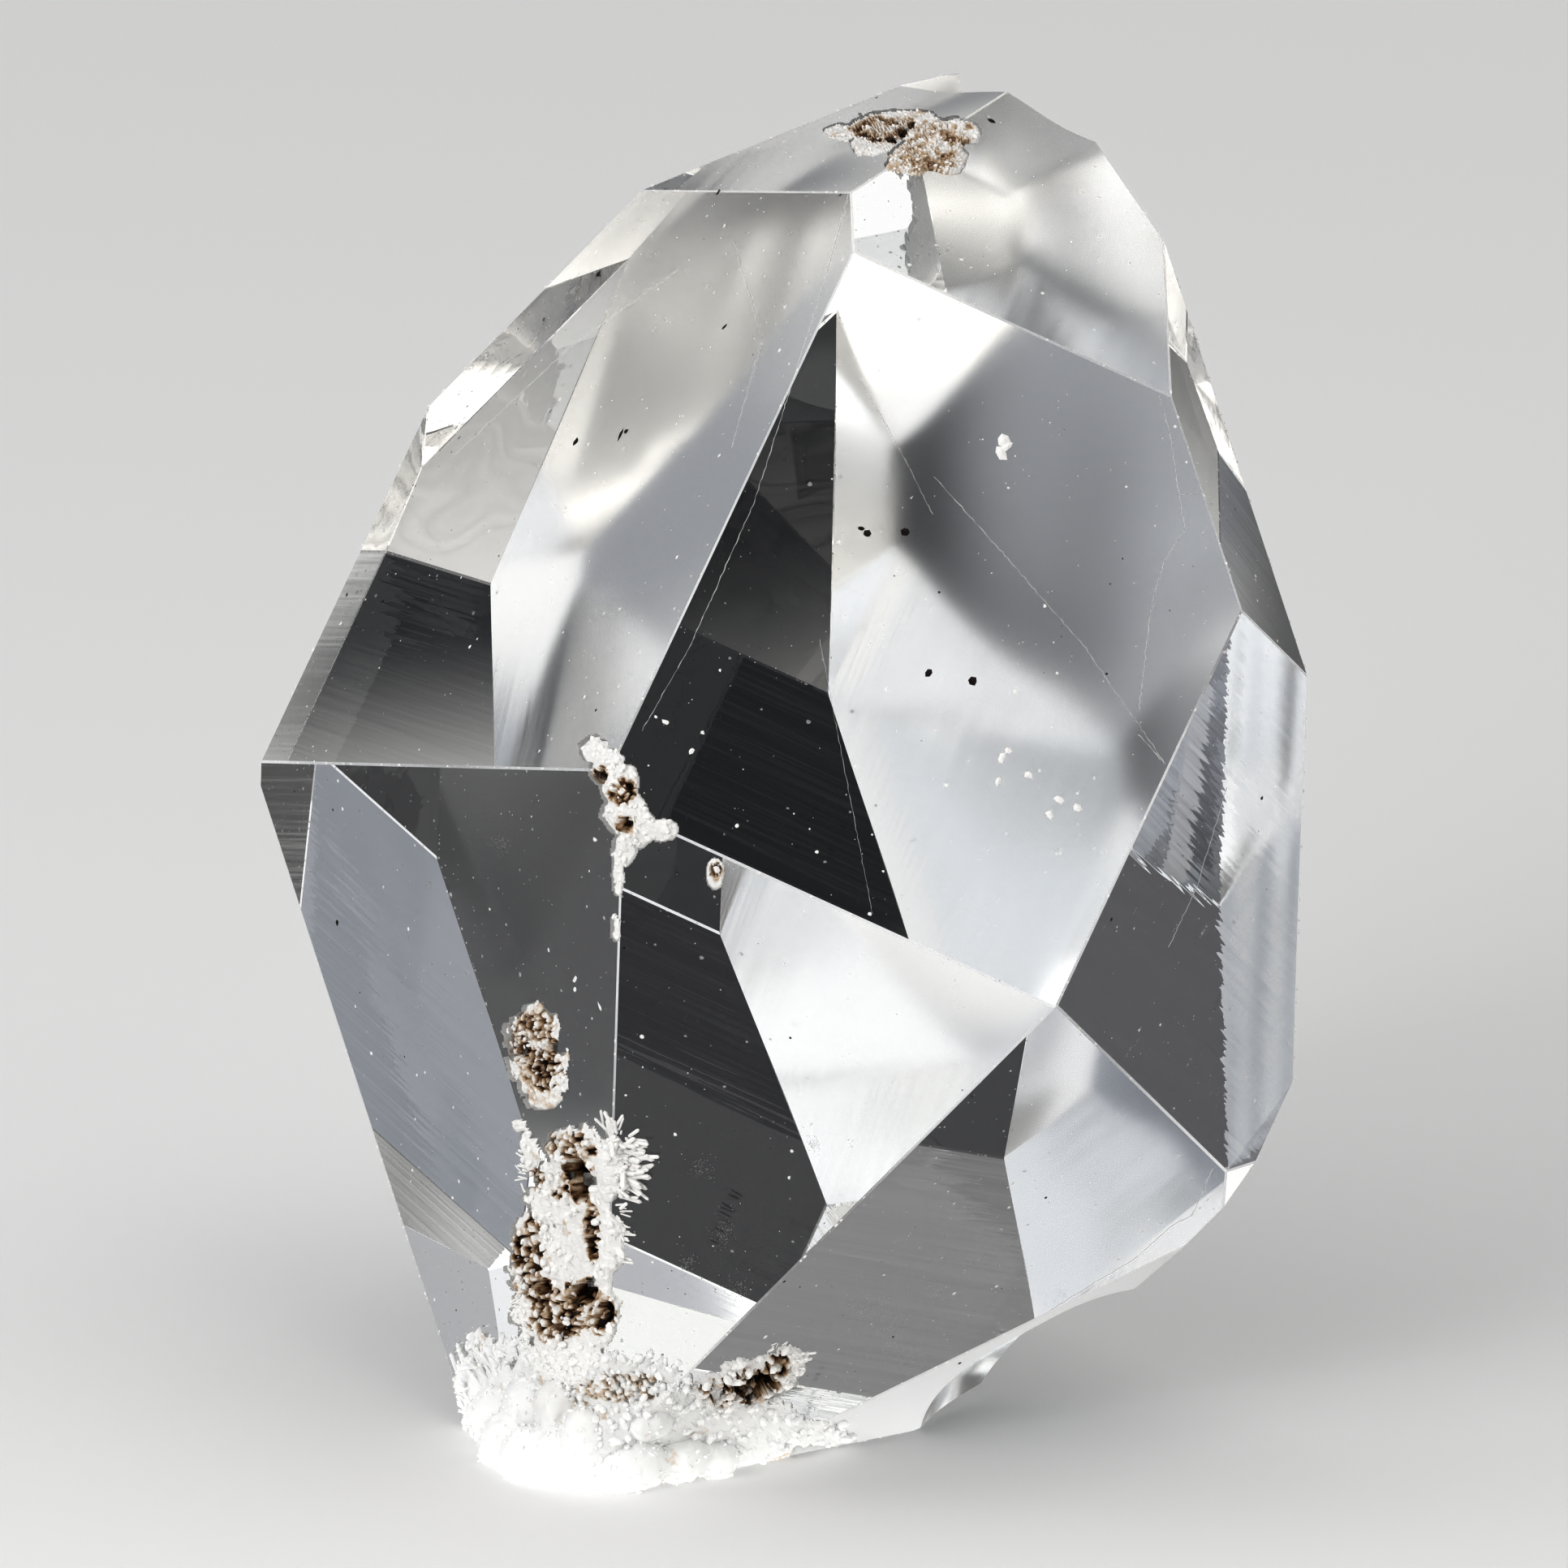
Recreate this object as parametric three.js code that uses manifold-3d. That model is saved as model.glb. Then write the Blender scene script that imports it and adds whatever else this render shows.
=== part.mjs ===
// A Herkimer diamond: one clear quartz crystal with a point at each end, standing on the small
// flat spot where it broke from its pocket. Millimetres, +Z up, origin under the middle of the
// crystal on the surface it stands on. Every growth face follows quartz's own angles, so each
// one needs only its distance from the heart of the crystal.

import * as THREE from 'three';
import { mergeVertices } from 'three/addons/utils/BufferGeometryUtils.js';
import Module from 'manifold-3d';

// ---- Driving dimensions ----------------------------------------------------------------------

// How the crystal's long axis stands: its lean from upright, the compass heading of that lean
// (from +X towards +Y), and the turn of the first prism face about it, in degrees.
const AXIS_LEAN = 37.8;
const AXIS_HEADING = 47.5;
const PRISM_TURN = -141.0;

// Height of the quartz cell over its width: it sets the slope of both sets of end faces.
const CELL_RATIO = 1.1;

// Distance of each face from the heart, anticlockwise about the long axis.
const PRISM_REACH = [7.62, 8.74, 7.3, 9.09, 7.63, 5.68];
const UPPER_REACH = [9.97, 9.21, 4.94, 8.57, 8.23, 9.09];
const LOWER_REACH = [7.97, 8.83, 9.91, 9.3, 7.86, 6.14];

// The heart above the flat spot that the crystal rests on.
const HEART_HEIGHT = 9.69;

// The upper point is broken off across its axis, with low ripples running over the break. The
// break stops at a ledge, and the sliver that it leaves behind the ledge is cropped.
const TIP_BREAK = { lean: 38.9, heading: 44, reach: 10.24 };
const TIP_LEDGE = { lean: 116.8, heading: 0, reach: -2.3 };
const TIP_CROP = { lean: 33.8, heading: 86, reach: 10.94 };
const TIP_RIPPLE = { height: 0.1, length: 2.1, cells: 16, dish: 0.012 };

// A shell-shaped chip in the lower corner: ball centre from the heart, radius, and ring ripples.
const CORNER_CHIP = { at: [5.61, -3.69, -11.15], radius: 3.9, ripple: 0.04, rings: 9 };

// Worn bevels beside that chip: one along the lower edge and one across the corner above it.
const EDGE_BEVEL = { lean: 134.4, heading: -54.2, reach: 9.34 };
const CORNER_BEVEL = { lean: 115.8, heading: -36.3, reach: 9.64 };

// Lumps of milky overgrowth about the foot: place from the heart and radius.
const FOOT_LUMPS = [
  { face: 'low5', at: [-4.5, -3.9, -9.2], radius: 0.48 },
  { face: 'low5', at: [-4.32, -4.7, -9.45], radius: 0.5 },
  { face: 'low5', at: [-3.94, -5.46, -9.5], radius: 0.56 },
  { face: 'low5', at: [-3.52, -5.85, -9.36], radius: 0.5 },
  { face: 'low5', at: [-3.98, -4.6, -8.8], radius: 0.44 },
  { face: 'low5', at: [-3.48, -5.42, -8.6], radius: 0.46 },
  { face: 'low0', at: [-3.05, -6.2, -8.75], radius: 0.42 },
  { face: 'low0', at: [-2.95, -6.12, -9.35], radius: 0.52 },
  { face: 'low1', at: [-2.35, -6.2, -9.3], radius: 0.5 },
  { face: 'low1', at: [-2.1, -6.5, -8.5], radius: 0.34 },
  { face: 'low1', at: [-1.62, -5.82, -9.3], radius: 0.42 },
  { face: 'low1', at: [-1.05, -5.52, -9.4], radius: 0.36 },
];
const LUMP_FLATNESS = 0.8;

// Rough pits where brown and white crusts grew: the faces they open on, their depth, and the
// blobs they are made of, each a place from the heart and a radius.
const PITS = [
  {
    faces: ['prism0', 'low5'],
    depth: 0.34,
    blobs: [
      { at: [-2.84, -7.55, 2.35], radius: 0.42 },
      { at: [-2.48, -7.8, 1.92], radius: 0.46 },
      { at: [-2.24, -8.16, 1.48], radius: 0.42 },
      { at: [-1.86, -8.1, 1.3], radius: 0.3 },
    ],
  },
  {
    faces: ['low5'],
    depth: 0.4,
    blobs: [
      { at: [-3.88, -5.25, -2.55], radius: 0.44 },
      { at: [-3.81, -5.33, -3.1], radius: 0.5 },
    ],
  },
  {
    faces: ['low5'],
    depth: 0.46,
    blobs: [
      { at: [-3.31, -6.06, -4.45], radius: 0.7 },
      { at: [-2.84, -6.86, -4.2], radius: 0.46 },
      { at: [-2.99, -6.5, -5.22], radius: 0.56 },
      { at: [-3.76, -5.18, -6.2], radius: 0.56 },
      { at: [-3.34, -5.9, -5.9], radius: 0.62 },
      { at: [-3.23, -6.03, -6.75], radius: 0.7 },
    ],
  },
  {
    faces: ['low1'],
    depth: 0.4,
    blobs: [
      { at: [-1.12, -6.48, -7.98], radius: 0.42 },
      { at: [-0.58, -6.25, -7.92], radius: 0.5 },
      { at: [-0.05, -6.19, -7.64], radius: 0.4 },
    ],
  },
  {
    faces: ['up5', 'up0'],
    depth: 0.34,
    blobs: [
      { at: [1.25, 1.75, 10.08], radius: 0.6 },
      { at: [1.75, 1.0, 10.32], radius: 0.56 },
      { at: [2.05, 0.1, 10.42], radius: 0.6 },
      { at: [2.45, -0.65, 10.38], radius: 0.62 },
    ],
  },
];
const PIT_UNEVENNESS = 0.16;
const GRAINS_PER_BLOB = 3;
const GRAIN_SIZE = 0.4;
const GRAIN_RISE = 0.06;
const LUMP_DETAIL = 2;
const GRAIN_DETAIL = 0;
const BLANK_SIZE = 60;

// ---- Growth faces ----------------------------------------------------------------------------

const RADIANS = Math.PI / 180;
const END_SLOPE = Math.atan((2 / Math.sqrt(3)) * CELL_RATIO);
const Z_AXIS = new THREE.Vector3(0, 0, 1);

const stance = new THREE.Quaternion()
  .setFromAxisAngle(Z_AXIS, AXIS_HEADING * RADIANS)
  .multiply(new THREE.Quaternion().setFromAxisAngle(new THREE.Vector3(0, 1, 0), AXIS_LEAN * RADIANS))
  .multiply(new THREE.Quaternion().setFromAxisAngle(Z_AXIS, PRISM_TURN * RADIANS));

// A face whose normal leans by slope from the long axis, at one of the six sides.
function growthFace(side, slope, reach) {
  const turn = side * 60 * RADIANS;
  const normal = new THREE.Vector3(
    Math.sin(slope) * Math.cos(turn),
    Math.sin(slope) * Math.sin(turn),
    Math.cos(slope),
  );
  return { normal: normal.applyQuaternion(stance), reach };
}

// A break whose normal is given by its lean from upright and its compass heading.
function breakFace({ lean, heading, reach }) {
  const normal = new THREE.Vector3(
    Math.sin(lean * RADIANS) * Math.cos(heading * RADIANS),
    Math.sin(lean * RADIANS) * Math.sin(heading * RADIANS),
    Math.cos(lean * RADIANS),
  );
  return { normal, reach };
}

const faces = {};
for (let side = 0; side < 6; side += 1) {
  faces[`prism${side}`] = growthFace(side, Math.PI / 2, PRISM_REACH[side]);
  faces[`up${side}`] = growthFace(side, END_SLOPE, UPPER_REACH[side]);
  faces[`low${side}`] = growthFace(side, Math.PI - END_SLOPE, LOWER_REACH[side]);
}

// ---- Solids ----------------------------------------------------------------------------------

const wasm = await Module();
wasm.setup();

// A closed three.js geometry as a solid.
function toSolid(geometry) {
  const bare = geometry.index ? geometry.toNonIndexed() : geometry.clone();
  bare.deleteAttribute('normal');
  bare.deleteAttribute('uv');
  const merged = mergeVertices(bare, 1e-4);
  return new wasm.Manifold(new wasm.Mesh({
    numProp: 3,
    vertProperties: new Float32Array(merged.attributes.position.array),
    triVerts: new Uint32Array(merged.index.array),
  }));
}

// A solid back as a three.js geometry.
function toGeometry(solid) {
  const mesh = solid.getMesh();
  const geometry = new THREE.BufferGeometry();
  geometry.setAttribute('position', new THREE.BufferAttribute(new Float32Array(mesh.vertProperties), 3));
  geometry.setIndex(new THREE.BufferAttribute(new Uint32Array(mesh.triVerts), 1));
  geometry.computeVertexNormals();
  return geometry;
}

// Cuts away everything that lies beyond a face.
function cutBy(solid, { normal, reach }) {
  const inward = normal.clone().negate();
  return solid.trimByPlane([inward.x, inward.y, inward.z], -reach);
}

// A smooth, repeatable unevenness between -1 and 1 for a direction.
function unevenness(direction, seed) {
  const first = Math.sin(5.1 * direction.x + 3.7 * direction.y + 1.9 * seed);
  const second = Math.sin(6.3 * direction.y - 4.9 * direction.z + 2.7 * seed);
  const third = Math.sin(9.7 * direction.z + 8.3 * direction.x - 1.3 * seed);
  return (first + second + third) / 3;
}

// A lumpy ball, flattened along normal.
function lump(centre, normal, radius, depth, seed, detail = LUMP_DETAIL) {
  const geometry = new THREE.IcosahedronGeometry(1, detail);
  const position = geometry.attributes.position;
  const point = new THREE.Vector3();
  for (let i = 0; i < position.count; i += 1) {
    point.fromBufferAttribute(position, i).normalize();
    point.multiplyScalar(1 + PIT_UNEVENNESS * unevenness(point, seed));
    position.setXYZ(i, point.x, point.y, point.z);
  }
  const placing = new THREE.Matrix4().compose(
    centre,
    new THREE.Quaternion().setFromUnitVectors(Z_AXIS, normal),
    new THREE.Vector3(radius, radius, depth),
  );
  return toSolid(geometry.applyMatrix4(placing));
}

// The outward direction at a spot that touches one face or an edge between several.
function outwardAt(names) {
  const sum = new THREE.Vector3();
  names.forEach((name) => sum.add(faces[name].normal));
  return sum.normalize();
}

// ---- The crystal -----------------------------------------------------------------------------

// The break across the upper point, as the solid that it takes away.
function tipCutter() {
  const { normal, reach } = breakFace(TIP_BREAK);
  const { height, length, cells, dish } = TIP_RIPPLE;
  const size = 16;
  const thickness = 6;
  const geometry = new THREE.BoxGeometry(size, size, thickness, cells, cells, 1);
  const position = geometry.attributes.position;
  for (let i = 0; i < position.count; i += 1) {
    const x = position.getX(i);
    const y = position.getY(i);
    const isCuttingSide = position.getZ(i) < 0;
    const wave = Math.sin((2 * Math.PI * (x + 0.4 * y)) / length) + 0.5 * Math.sin(1.7 * y - 0.6 * x);
    const lift = height * wave + dish * (x * x + y * y);
    position.setZ(i, position.getZ(i) + (isCuttingSide ? lift : 0));
  }
  const placing = new THREE.Matrix4().compose(
    normal.clone().multiplyScalar(reach + thickness / 2),
    new THREE.Quaternion().setFromUnitVectors(Z_AXIS, normal),
    new THREE.Vector3(1, 1, 1),
  );
  const slab = toSolid(geometry.applyMatrix4(placing));
  const ledge = breakFace(TIP_LEDGE).normal;
  return slab.trimByPlane([ledge.x, ledge.y, ledge.z], TIP_LEDGE.reach);
}

// The ball that scoops out the corner chip, with rings like those in a shell.
function chipCutter() {
  const { at, radius, ripple, rings } = CORNER_CHIP;
  const geometry = new THREE.SphereGeometry(1, 40, 36);
  const position = geometry.attributes.position;
  const point = new THREE.Vector3();
  for (let i = 0; i < position.count; i += 1) {
    point.fromBufferAttribute(position, i).normalize();
    const ring = Math.sin(rings * Math.acos(THREE.MathUtils.clamp(point.z, -1, 1)));
    point.multiplyScalar(radius + ripple * ring);
    position.setXYZ(i, point.x, point.y, point.z);
  }
  geometry.translate(...at);
  return toSolid(geometry);
}

// All the lumps of the milky overgrowth about the foot.
function footOvergrowth() {
  const lumps = FOOT_LUMPS.map(({ face, at, radius }, seed) => {
    const { normal } = faces[face];
    return lump(new THREE.Vector3(...at), normal, radius, radius * LUMP_FLATNESS, seed);
  });
  return lumps.reduce((sum, next) => sum.add(next));
}

// One pit, as the solid that it takes away.
function pitCutter({ faces: names, depth, blobs }) {
  const normal = outwardAt(names);
  const lumps = blobs.map(({ at, radius }, seed) => (
    lump(new THREE.Vector3(...at), normal, radius, depth, seed + 3)
  ));
  return lumps.reduce((sum, next) => sum.add(next));
}

// The crust grains that fill the floor of one pit, cut off just above the faces around it.
function crustGrains({ faces: names, depth, blobs }) {
  const normal = outwardAt(names);
  const turned = new THREE.Quaternion().setFromUnitVectors(Z_AXIS, normal);
  const grains = blobs.flatMap(({ at, radius }, blob) => (
    Array.from({ length: GRAINS_PER_BLOB }, (_, i) => {
      const turn = (2 * Math.PI * i) / GRAINS_PER_BLOB + 1.3 * blob;
      const offset = new THREE.Vector3(Math.cos(turn), Math.sin(turn), 0).multiplyScalar(0.5 * radius);
      const centre = offset.applyQuaternion(turned).add(new THREE.Vector3(...at));
      centre.addScaledVector(normal, -0.75 * depth);
      return lump(centre, normal, GRAIN_SIZE * radius, 0.6 * depth, blob + 4 * i, GRAIN_DETAIL);
    })
  ));
  return names.reduce((crust, name) => {
    const { normal: outward, reach } = faces[name];
    return cutBy(crust, { normal: outward, reach: reach + GRAIN_RISE });
  }, grains.reduce((sum, next) => sum.add(next)));
}

// The whole crystal: growth faces first, then breaks, overgrowth and crusted pits.
function grownCrystal() {
  let body = toSolid(new THREE.BoxGeometry(BLANK_SIZE, BLANK_SIZE, BLANK_SIZE));
  Object.values(faces).forEach((face) => {
    body = cutBy(body, face);
  });
  body = body.subtract(tipCutter());
  body = body.subtract(chipCutter());
  [TIP_CROP, EDGE_BEVEL, CORNER_BEVEL].forEach((worn) => {
    body = cutBy(body, breakFace(worn));
  });
  body = body.add(footOvergrowth());
  PITS.forEach((pit) => {
    body = body.subtract(pitCutter(pit)).add(crustGrains(pit));
  });
  return cutBy(body, { normal: new THREE.Vector3(0, 0, -1), reach: HEART_HEIGHT });
}

// ---- Materials and scene graph ---------------------------------------------------------------

const quartz = new THREE.MeshStandardMaterial({
  color: '#dfe4e8',
  roughness: 0.04,
  metalness: 0,
  transparent: true,
  opacity: 0.45,
});

const herkimer = new THREE.Group();
const crystal = new THREE.Mesh(toGeometry(grownCrystal()), quartz);
crystal.name = 'crystal';
herkimer.add(crystal);

// The origin goes under the middle of the crystal's box, on the surface it stands on.
const middle = new THREE.Box3().setFromObject(crystal).getCenter(new THREE.Vector3());
herkimer.position.set(-middle.x, -middle.y, HEART_HEIGHT);

export default herkimer;
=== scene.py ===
"""A Herkimer diamond: a clear double-ended quartz crystal with crusted pits and a milky foot."""

import math
import random

import bmesh
import bpy
from mathutils import Matrix, Quaternion, Vector, noise


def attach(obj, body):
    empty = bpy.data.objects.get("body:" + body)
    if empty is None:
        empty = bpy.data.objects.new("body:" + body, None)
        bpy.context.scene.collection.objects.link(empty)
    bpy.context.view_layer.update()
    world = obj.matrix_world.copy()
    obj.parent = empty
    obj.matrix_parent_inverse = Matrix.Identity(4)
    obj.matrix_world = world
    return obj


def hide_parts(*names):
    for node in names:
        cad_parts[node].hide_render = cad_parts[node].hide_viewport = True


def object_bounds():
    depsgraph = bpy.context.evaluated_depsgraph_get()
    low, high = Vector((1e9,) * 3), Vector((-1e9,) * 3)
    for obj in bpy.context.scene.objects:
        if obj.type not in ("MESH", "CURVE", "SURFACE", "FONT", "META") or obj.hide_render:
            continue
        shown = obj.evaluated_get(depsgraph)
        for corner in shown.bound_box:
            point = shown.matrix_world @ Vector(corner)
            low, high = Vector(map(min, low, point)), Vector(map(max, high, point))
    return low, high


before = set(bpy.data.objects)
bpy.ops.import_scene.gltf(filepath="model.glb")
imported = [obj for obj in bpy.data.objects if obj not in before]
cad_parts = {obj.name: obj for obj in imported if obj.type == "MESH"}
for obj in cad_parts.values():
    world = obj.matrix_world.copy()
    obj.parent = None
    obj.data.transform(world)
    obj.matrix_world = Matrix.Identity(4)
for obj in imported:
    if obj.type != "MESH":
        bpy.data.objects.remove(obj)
CAD_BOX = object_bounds()
# Noise vectors would change from run to run without a seed.
noise.seed_set(5)

# ---- The crystal's own numbers, in millimetres and degrees, as in the CAD source ---------------

AXIS_LEAN, AXIS_HEADING, PRISM_TURN, CELL_RATIO = 37.8, 47.5, -141.0, 1.1
PRISM_REACH = (7.62, 8.74, 7.3, 9.09, 7.63, 5.68)
UPPER_REACH = (9.97, 9.21, 4.94, 8.57, 8.23, 9.09)
LOWER_REACH = (7.97, 8.83, 9.91, 9.3, 7.86, 6.14)
HEART = Vector((0.0294, -0.2761, 9.69))
TIP_BREAK = (38.9, 44.0, 10.24)
TIP_LEDGE = (116.8, 0.0, -2.3)
TIP_CROP = (33.8, 86.0, 10.94)
EDGE_BEVEL = (134.4, -54.2, 9.34)
CORNER_BEVEL = (115.8, -36.3, 9.64)
CHIP_CENTRE, CHIP_RADIUS = Vector((5.61, -3.69, -11.15)), 3.9

# The camera's view: how far it looks down, the frame's width at the crystal, and its distance.
LOOK_DOWN = math.radians(15.5)
FRAME_WIDTH = 24.536
CAMERA_AWAY, SENSOR_WIDTH = 1000.0, 36.0

MM = 0.001
# The crystal's material slots, in the order of quartz_materials.
CLEAR, WAVY, FROST, WORN, SHELL, STRIATED = range(6)


def facing(slope, turn):
    """The unit vector at a slope from upright and a turn about it, in radians."""
    return Vector((
        math.sin(slope) * math.cos(turn), math.sin(slope) * math.sin(turn), math.cos(slope),
    ))


def leaning(lean, heading):
    """The direction that leans from upright towards a heading, in degrees."""
    return facing(math.radians(lean), math.radians(heading))


def growth_faces():
    """Each growth face as name: (outward normal, reach from the heart)."""
    stance = (
        Quaternion((0, 0, 1), math.radians(AXIS_HEADING))
        @ Quaternion((0, 1, 0), math.radians(AXIS_LEAN))
        @ Quaternion((0, 0, 1), math.radians(PRISM_TURN))
    )
    end_slope = math.atan(2 / math.sqrt(3) * CELL_RATIO)
    kinds = (
        ("prism", math.pi / 2, PRISM_REACH),
        ("up", end_slope, UPPER_REACH),
        ("low", math.pi - end_slope, LOWER_REACH),
    )
    faces = {}
    for kind, slope, reaches in kinds:
        for side, reach in enumerate(reaches):
            faces[f"{kind}{side}"] = (stance @ facing(slope, math.radians(60 * side)), reach)
    return faces


FACES = growth_faces()
FACES["base"] = (Vector((0, 0, -1)), HEART.z)
for name, (lean, heading, reach) in {
    "tip_crop": TIP_CROP,
    "edge_bevel": EDGE_BEVEL,
    "corner_bevel": CORNER_BEVEL,
}.items():
    FACES[name] = (leaning(lean, heading), reach)


def clipped(polygon, normal, reach):
    """A convex polygon's part that lies within a face."""
    out = []
    for a, b in zip(polygon, polygon[1:] + polygon[:1]):
        da, db = normal.dot(a) - reach, normal.dot(b) - reach
        if da <= 0:
            out.append(a)
        if (da < 0 < db) or (db < 0 < da):
            out.append(a.lerp(b, da / (da - db)))
    return out


# Half the width of the square that each face is cut from, well past the crystal.
FACE_START = 60


def face_polygon(name):
    """The outline of one face of the crystal, or nothing if the others cut it away."""
    normal, reach = FACES[name]
    side = normal.orthogonal().normalized() * FACE_START
    up = normal.cross(side).normalized() * FACE_START
    centre = normal * reach
    polygon = [centre - side - up, centre + side - up, centre + side + up, centre - side + up]
    for other, (cut, cut_reach) in FACES.items():
        if other != name and polygon:
            polygon = clipped(polygon, cut, cut_reach)
    return polygon if len(polygon) > 2 else []


def mesh_object(name, mesh, materials):
    """A new object, in the scene, that shows a mesh."""
    piece = bpy.data.objects.new(name, mesh)
    bpy.context.scene.collection.objects.link(piece)
    if not mesh.materials:
        for material in materials:
            mesh.materials.append(material)
    return piece


def as_mesh(name, shape):
    """A mesh from a bmesh, which is used up."""
    mesh = bpy.data.meshes.new(name)
    shape.to_mesh(mesh)
    shape.free()
    return mesh


def to_place(mesh):
    """Moves a mesh from millimetres about the heart to its place in metres."""
    mesh.transform(Matrix.Translation(HEART * MM) @ Matrix.Scale(MM, 4))


def evaluated(piece):
    """A piece's mesh with its modifiers applied; the piece is used up."""
    view = bpy.context.evaluated_depsgraph_get()
    mesh = bpy.data.meshes.new_from_object(piece.evaluated_get(view))
    bpy.data.objects.remove(piece)
    return mesh


# ---- Materials ----------------------------------------------------------------------------------

def new_material(name):
    """An empty node material and its output node."""
    material = bpy.data.materials.new(name)
    material.use_nodes = True
    tree = material.node_tree
    tree.nodes.clear()
    return material, tree, tree.nodes.new("ShaderNodeOutputMaterial")


def feed(tree, socket, value):
    """Links a socket to another node's output, or sets it to a plain value or colour."""
    if isinstance(value, bpy.types.NodeSocket):
        tree.links.new(value, socket)
    elif socket.type == "RGBA":
        socket.default_value = (*value, 1)
    else:
        socket.default_value = value


def node(tree, kind, *feeds, **values):
    """A node: feeds go to its inputs in turn, and values to sockets with that capitalised name."""
    made = tree.nodes.new(kind)
    for key, value in values.items():
        if key[0].isupper():
            feed(tree, made.inputs[key.replace("_", " ")], value)
        else:
            setattr(made, key, value)
    for socket, value in zip(made.inputs, feeds):
        feed(tree, socket, value)
    return made


def reckon(tree, operation, *feeds, **values):
    """The result of a sum on numbers."""
    return node(tree, "ShaderNodeMath", *feeds, operation=operation, **values).outputs["Value"]


def vector_sum(tree, operation, *feeds, **values):
    """The result of a sum on vectors."""
    made = node(tree, "ShaderNodeVectorMath", *feeds, operation=operation, **values)
    return made.outputs["Value" if operation in ("DOT_PRODUCT", "LENGTH") else "Vector"]


def ramp(tree, source, stops):
    """Colours along a value: each stop is a place from 0 to 1 and a colour or a grey."""
    made = node(tree, "ShaderNodeValToRGB", source)
    elements = made.color_ramp.elements
    while len(elements) < len(stops):
        elements.new(0.5)
    for element, (position, _) in zip(elements, stops):
        element.position = position
    for element, (_, colour) in zip(elements, stops):
        element.color = (*(colour if isinstance(colour, tuple) else (colour,) * 3), 1)
    return made.outputs["Color"]


def part_translucent(tree, out, body, colour, share):
    """Shows a surface that scatters a share of the light through to its other side."""
    through = node(tree, "ShaderNodeBsdfTranslucent", colour)
    mixed = node(tree, "ShaderNodeMixShader", share, body.outputs["BSDF"], through.outputs["BSDF"])
    feed(tree, out.inputs["Surface"], mixed.outputs["Shader"])


QUARTZ_IOR = 1.544
ABSORPTION, ABSORBED_COLOUR = 6.0, (0.86, 0.9, 0.92)
# Heights in metres of the faint unevenness of a clear face and of a face's growth lines.
FACE_RELIEF, GROWTH_LINES = 0.000002, 0.000006


def quartz(name, roughness=0.0, lined=False):
    """Clear quartz, nearly even or with fine growth lines across its long axis."""
    material, tree, out = new_material(name)
    coords = node(tree, "ShaderNodeTexCoord").outputs["Object"]
    if lined:
        along = vector_sum(tree, "DOT_PRODUCT", coords, leaning(AXIS_LEAN, AXIS_HEADING))
        across = vector_sum(tree, "SCALE", coords, Scale=0.06)
        coords = vector_sum(tree, "ADD", across, along)
        relief = node(
            tree, "ShaderNodeTexNoise", Vector=coords, Scale=1400.0, Detail=3.0, Roughness=0.6,
        )
    else:
        relief = node(tree, "ShaderNodeTexNoise", Vector=coords, Scale=260.0, Detail=1.0)
    raised = node(
        tree, "ShaderNodeBump", Height=relief.outputs["Fac"], Strength=1.0,
        Distance=GROWTH_LINES if lined else FACE_RELIEF,
    )
    glass = node(
        tree, "ShaderNodeBsdfPrincipled", Base_Color=(1, 1, 1), IOR=QUARTZ_IOR,
        Roughness=roughness, Transmission_Weight=1.0, Normal=raised.outputs["Normal"],
    )
    absorb = node(tree, "ShaderNodeVolumeAbsorption", Color=ABSORBED_COLOUR, Density=ABSORPTION)
    feed(tree, out.inputs["Surface"], glass.outputs["BSDF"])
    feed(tree, out.inputs["Volume"], absorb.outputs["Volume"])
    return material


def worn_quartz():
    """The rubbed surface of edges: partly see-through and rough."""
    material, tree, out = new_material("worn_quartz")
    body = node(
        tree, "ShaderNodeBsdfPrincipled", Base_Color=(0.95, 0.96, 0.97), IOR=QUARTZ_IOR,
        Roughness=0.35, Transmission_Weight=0.75,
    )
    feed(tree, out.inputs["Surface"], body.outputs["BSDF"])
    return material


def milky_quartz():
    """Milky quartz that lets light through but blurs it, whiter in some places than others."""
    material, tree, out = new_material("milky_quartz")
    coords = node(tree, "ShaderNodeTexCoord").outputs["Object"]
    cloud = node(tree, "ShaderNodeTexNoise", Vector=coords, Scale=900.0, Detail=3.0)
    tint = ramp(tree, cloud.outputs["Fac"], ((0, (0.93, 0.9, 0.85)), (1, (0.99, 0.98, 0.96))))
    skin = node(
        tree, "ShaderNodeBsdfPrincipled", Base_Color=tint, IOR=QUARTZ_IOR, Roughness=0.6,
    )
    part_translucent(tree, out, skin, tint, 0.8)
    return material


# ---- The crystal --------------------------------------------------------------------------------

EDGE_WIDTH = 0.025
# Worn edges smaller than this many square millimetres are clear on the far side, but for one
# whose frosty line shows through the crystal.
SMALL_EDGE = 3
FROSTY_EDGE = ("up2", "prism3")
FACE_MATERIALS = {
    "up2": WAVY, "base": FROST, "edge_bevel": WORN, "prism1": STRIATED, "prism3": STRIATED,
}


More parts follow.
